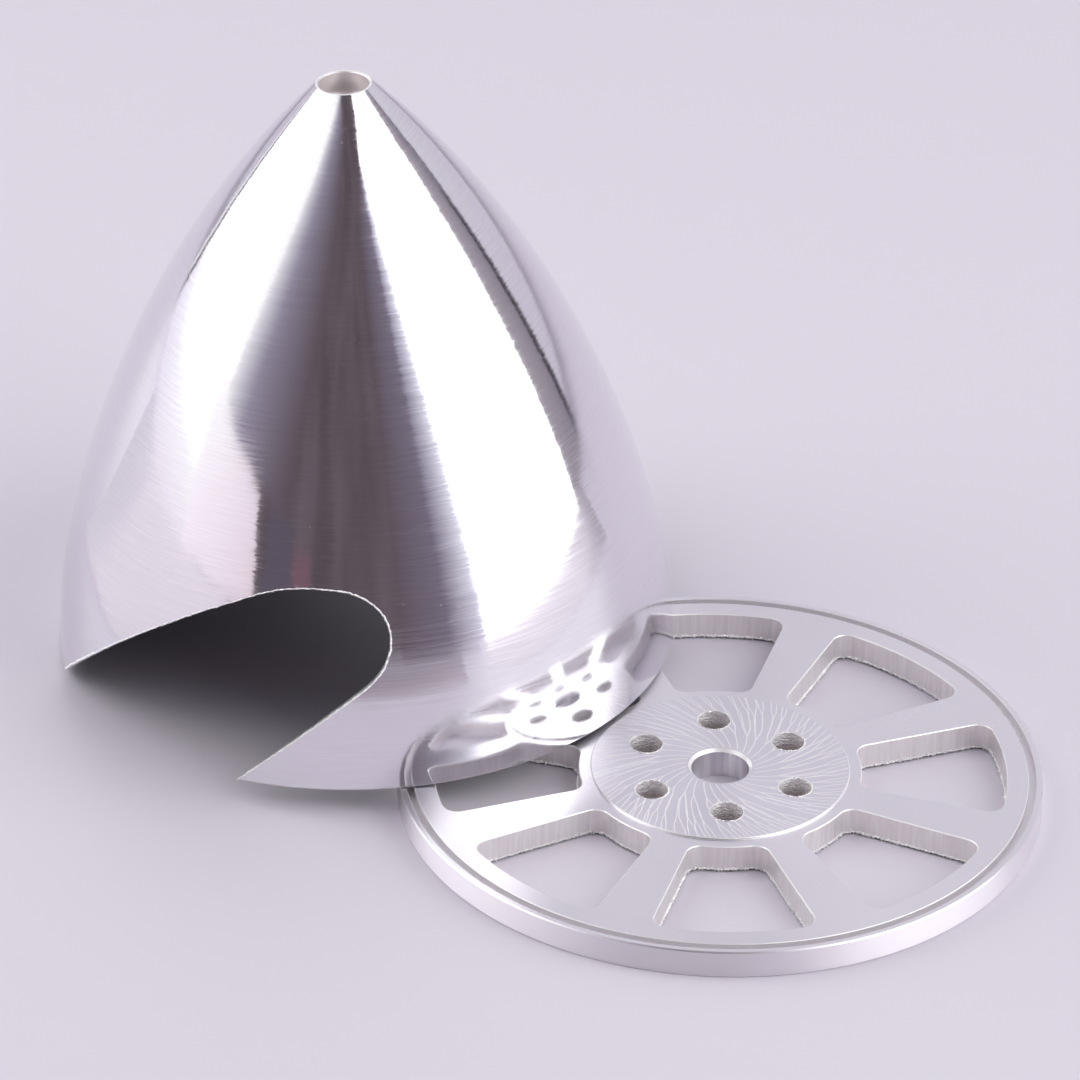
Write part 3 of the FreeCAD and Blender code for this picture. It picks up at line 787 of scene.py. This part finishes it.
# Grooved aluminium, left rough by a narrow tool: grey and uneven.
roughGroove, tree, shader, local = machinedMetal("groovedAluminium", finish["groove"], 0.45, metallic=0.75)
addTurningLines(tree, shader, local, spacing=0.3, depth=0.05, length=1.5)
print("materials ready")

makeShellBurrs(makeShell())
makePlate()
makeScoring()
makeBurrs()

# The stage is in metres. White boxes and grey sheets round the shell are what it mirrors.
studio = {
    "floor": "#DCD7E1", "floorRoughness": 0.5, "floorSize": 6.0,
    "boxStrength": 2.3, "dark": "#62585F", "middle": (-0.0655, 0.0473), "rugHeight": 0.002,
    "front": "#594F55", "frontLight": "#6C6269", "rear": "#D4CEDB", "rearHigh": "#DCD8E2",
    "worldStrength": 1.0,
}
lightBox, dark = studio["boxStrength"], studio["dark"]
# azimuth (0 is towards the camera, and it grows to the right), distance, corners (across,
# height), colours and strength of each upright sheet
boards = {
    "rightBox": (70, 1, [(-0.43, 0.003), (0.565, 0.003), (0.64, 2.2), (-1.03, 2.2)], "#FFFFFF", lightBox),
    "rightFade": (70, 1, [(-0.797, 0.25), (-0.498, 0.25), (-1.03, 2.2), (-1.15, 2.2)],
                  ["#7A7283", "#F4F4FF", "#F0F0FF", "#7E7687"], 1),
    "rightHaze": (70, 1, [(-1.43, 0.003), (-0.75, 0.003), (-1.15, 2.2), (-1.7, 2.2)],
                  [dark, "#78707F", "#7E7687", dark], 1),
    "rightFoot": (70, 1, [(-0.75, 0.003), (-0.43, 0.003), (-0.498, 0.25), (-0.797, 0.25)],
                  ["#78707F", "#DEDAEC", "#F4F4FF", "#7A7283"], 1),
    "leftBox": (-95, 1, [(-0.6, 0.003), (0.5, 0.003), (0.53, 0.39), (0.65, 0.78), (0.84, 1.13),
                         (1.27, 2.2), (-0.6, 2.2)], "#FFFFFF", lightBox),
    "leftFade": (-45, 1, [(-0.46, 0.34), (-0.22, 0.3), (0.5, 2.2), (0.34, 2.2)],
                 ["#FFFFFF", "#958FA1", "#958FA1", "#FFFFFF"], 1),
    "leftRim": (-45, 1, [(-0.64, 0.38), (-0.46, 0.34), (0.34, 2.2), (0.12, 2.2)], "#FFFFFF", 1.2),
    "leftHaze": (-45, 1, [(-0.22, 0.3), (0.25, 0.26), (0.85, 2.2), (0.5, 2.2)],
                 ["#958FA1", dark, dark, "#958FA1"], 1),
    "leftFold": (-95, 0.99, [(0.36, 0.004), (1.42, 0.004), (1.27, 0.38), (0.36, 0.4)],
                 ["#F4ECF3", "#DACBD3", "#E4D8DF", "#FFFFFF"], 1.2),
    "leftSkirt": (-95, 0.985, [(-0.6, 0.004), (0.38, 0.004), (0.38, 0.17), (-0.6, 0.12)],
                  ["#EAE4F2", "#F0E8EF", "#FFFFFF", "#FFFFFF"], 1.15),
    "leftEdge": (-95, 0.99, [(-0.655, 0.003), (-0.62, 0.003), (-0.62, 2.2), (-0.655, 2.2)], "#6A656C", 1),
    "leftGleam": (-95, 0.99, [(-0.72, 0.003), (-0.67, 0.003), (-0.67, 2.2), (-0.72, 2.2)], "#FFFFFF", 1),
    "darkStrip": (-31.5, 1, [(-0.1, 0.004), (0.1, 0.004), (0.1, 0.25), (-0.1, 0.25)], "#615A66", 1),
    "redStrip": (-22, 1, [(-0.06, 0.004), (0.06, 0.004), (0.06, 0.2), (-0.06, 0.2)], "#7A5F69", 1),
    "rightStand": (70, 1, [(0.57, 0.003), (1.05, 0.003), (1.12, 0.75), (1.0, 1.1), (0.65, 1.1)],
                   ["#A8A0A8", "#86808B", "#86808B", "#86808B", "#B0A8B0"], 1),
    "rightPost": (70, 0.99, [(0.93, 0.003), (1.01, 0.06), (1.03, 0.6), (0.95, 0.64)], "#4A444B", 1),
}
# azimuths, distances and corner colours of each sheet on the floor; the left and right sheets paint the boxes'
# sheen on the floor, and the front sheet is painted shade of the floor in front
rugs = {
    "leftFloor": ((-95, -50), (0.11, 1.1), ["#EEE6F0", "#DDD5E0", "#F0E8F1", "#FAF2FA"]),
    "leftFloorRear": ((-112, -95), (0.11, 1.1), ["#DED8E4", "#EEE6F0", "#FAF2FA", "#E0DCEA"]),
    "rightFloor": ((44, 84), (0.27, 1.1), ["#F4ECF6", "#F0E8F2", "#FFF8FF", "#F8F0FA"]),
    "rightFloorRear": ((84, 104), (0.27, 1.1), ["#F4ECF6", "#B4ACB8", "#ACA2AE", "#FFF8FF"]),
    "frontFloor": ((-40, 36), (0.27, 0.8), ["#A0959D", "#C8BECA", "#A89EAA", "#74696F"]),
}


def outFrom(azimuth, distance, height):
    # the point at that azimuth and distance from the middle of the shell's foot
    a = math.radians(azimuth)
    return np.array([*studio["middle"], height]) + distance * np.array([math.sin(a), -math.cos(a), 0])


def card(name, corners, hexCodes, strength=1.0, standing=True):
    # a glowing sheet out of the camera's sight, for the metal to mirror: one colour, or one
    # for each corner; the change between them is even to the eye, hence the gamma
    sheet = meshObject(name, np.array(corners), [list(range(len(corners)))])
    hexCodes = [hexCodes] * len(corners) if isinstance(hexCodes, str) else hexCodes
    shade = sheet.data.color_attributes.new("glow", "FLOAT_COLOR", "POINT")
    codes = [[int(code[i:i + 2], 16) / 255 for i in (1, 3, 5)] + [1.0] for code in hexCodes]
    shade.data.foreach_set("color", np.array(codes).ravel())
    material, tree, output = newMaterial(name + "Glow")
    tint = addNode(tree, "ShaderNodeAttribute", attribute_name="glow")
    colour = addNode(tree, "ShaderNodeGamma", {"Color": tint.outputs["Color"], "Gamma": 2.2})
    glow = addNode(tree, "ShaderNodeEmission", {"Strength": strength, "Color": colour.outputs[0]})
    tree.links.new(glow.outputs[0], output.inputs["Surface"])
    sheet.data.materials.append(material)
    sheet.visible_camera = False
    sheet.visible_diffuse = standing  # a sheet on the floor neither lights nor shades it
    sheet.visible_shadow = standing


for name, (azimuth, distance, corners, hexCodes, strength) in boards.items():
    foot = outFrom(azimuth, distance, 0)
    across = np.array([math.cos(math.radians(azimuth)), math.sin(math.radians(azimuth)), 0])
    card(name, [foot + x * across + np.array([0, 0, z]) for x, z in corners], hexCodes, strength)
for name, ((first, last), (near, far), hexCodes) in rugs.items():
    places = [(first, near), (last, near), (last, far), (first, far)]
    card(name, [outFrom(*place, studio["rugHeight"]) for place in places], hexCodes, standing=False)

size = studio["floorSize"]
floor = meshObject("floor", np.array([[-size, -size, 0], [size, -size, 0], [size, size, 0], [-size, size, 0]]),
                   [[0, 1, 2, 3]])
# Smooth card: dull, with a faint sheen at a low angle.
material, tree, output = newMaterial("cardFloor")
shader = addNode(tree, "ShaderNodeBsdfPrincipled", {
    "Base Color": linearColour(studio["floor"]), "Roughness": studio["floorRoughness"]})
tree.links.new(shader.outputs[0], output.inputs["Surface"])
floor.data.materials.append(material)

# a light room behind the shell and dark cloth in upright folds behind the camera
world = bpy.data.worlds.new("studio")
bpy.context.scene.world = world
world.use_nodes = True
tree = world.node_tree
tree.nodes.clear()
sight = addNode(tree, "ShaderNodeTexCoord").outputs["Generated"]
level = addNode(tree, "ShaderNodeVectorMath", {0: sight, 1: (1, 1, 0)}, operation="MULTIPLY")
level = addNode(tree, "ShaderNodeVectorMath", {0: level.outputs[0]}, operation="NORMALIZE")
bearing = addNode(tree, "ShaderNodeSeparateXYZ", {"Vector": level.outputs[0]})
height = addNode(tree, "ShaderNodeSeparateXYZ", {"Vector": sight})
blend = addNode(tree, "ShaderNodeMapRange", {"Value": bearing.outputs["Y"], "From Min": -0.1, "From Max": 0.15})
lift = addNode(tree, "ShaderNodeMapRange", {"Value": height.outputs["Z"], "From Min": 0.1, "From Max": 0.4})
rear = addNode(tree, "ShaderNodeMix", {
    "Factor": lift.outputs[0], 6: linearColour(studio["rear"]), 7: linearColour(studio["rearHigh"])},
    data_type="RGBA")
folded = addNode(tree, "ShaderNodeVectorMath", {0: sight, 1: (9, 9, 1.5)}, operation="MULTIPLY")
folds = addNode(tree, "ShaderNodeTexNoise", {"Scale": 1.0, "Detail": 2.0, "Vector": folded.outputs[0]})
share = addNode(tree, "ShaderNodeMapRange", {"Value": folds.outputs[0], "From Min": 0.3, "From Max": 0.7})
front = addNode(tree, "ShaderNodeMix", {
    "Factor": share.outputs[0], 6: linearColour(studio["front"]), 7: linearColour(studio["frontLight"])},
    data_type="RGBA")
colour = addNode(tree, "ShaderNodeMix", {
    "Factor": blend.outputs[0], 6: front.outputs[2], 7: rear.outputs[2]}, data_type="RGBA")
background = addNode(tree, "ShaderNodeBackground", {
    "Color": colour.outputs[2], "Strength": studio["worldStrength"]})
addNode(tree, "ShaderNodeOutputWorld", {"Surface": background.outputs[0]})

# position in metres, lens in millimetres on a sensor 36 mm wide
cameraView = {"position": (-0.0336, -1.0826, 0.7212), "pitch": 31.688, "roll": 1.293, "lens": 238.5}
pitch, roll = math.radians(cameraView["pitch"]), math.radians(cameraView["roll"])
ahead = Vector((0, math.cos(pitch), -math.sin(pitch)))
above = Vector((0, math.sin(pitch), math.cos(pitch)))
side = Vector((1, 0, 0))
rightward = side * math.cos(roll) + above * math.sin(roll)
upward = above * math.cos(roll) - side * math.sin(roll)
aim = Matrix((rightward, upward, -ahead)).transposed().to_4x4()
camera = bpy.data.objects.new("camera", bpy.data.cameras.new("camera"))
bpy.context.scene.collection.objects.link(camera)
camera.data.lens = cameraView["lens"]
camera.data.sensor_width = 36
camera.data.clip_end = 30
camera.matrix_world = Matrix.Translation(cameraView["position"]) @ aim
bpy.context.scene.camera = camera
bpy.context.scene.view_settings.view_transform = "Standard"
print("stage ready")
